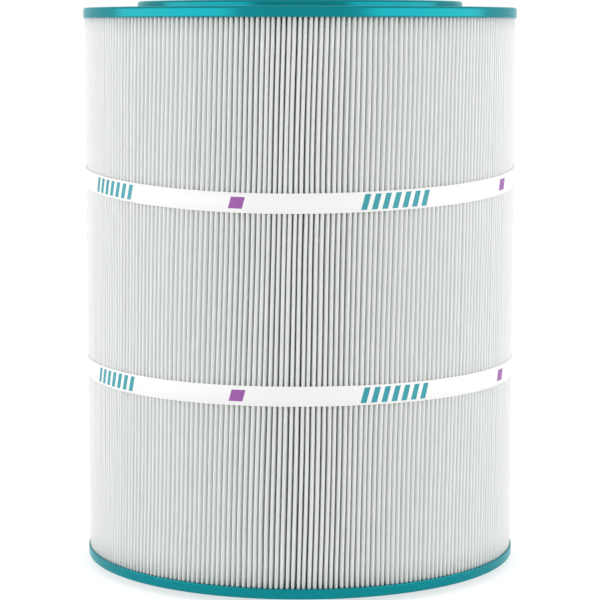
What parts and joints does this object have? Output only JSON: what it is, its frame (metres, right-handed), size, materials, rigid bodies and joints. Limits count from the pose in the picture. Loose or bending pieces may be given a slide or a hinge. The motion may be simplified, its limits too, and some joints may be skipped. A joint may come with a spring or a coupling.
{
  "type": "pleated filter cartridge",
  "caption": "Tall round pleated filter cartridge with glossy end caps, raised sealing rings, open bore, lattice core and straps round the pleats.",
  "frame": {"origin": "centre of the lower sealing ring's face, the lowest face of the cartridge", "axes": "+Z along the cartridge's axis, upwards; the straps' laps and the media's seam are at the back, +Y"},
  "size_m": [0.2556, 0.2556, 0.3335],
  "materials": {
    "end_cap": "glossy cast polyurethane",
    "media": "white spun-bonded polyester, matt with fine fibres",
    "core": "white moulded ABS, satin",
    "strap": "white printed polyester band, satin",
    "hot_melt": "translucent off-white hot-melt glue"
  },
  "bodies": {
    "root": {"top_end_cap": "end_cap", "bottom_end_cap": "end_cap", "pleated_media": "media", "media_seam_bead": "hot_melt", "core_lower": "core", "core_middle": "core", "core_upper": "core", "strap_upper": "strap", "strap_lower": "strap", "strap_upper_lap_glue": "hot_melt", "strap_lower_lap_glue": "hot_melt"}
  },
  "joints": []
}
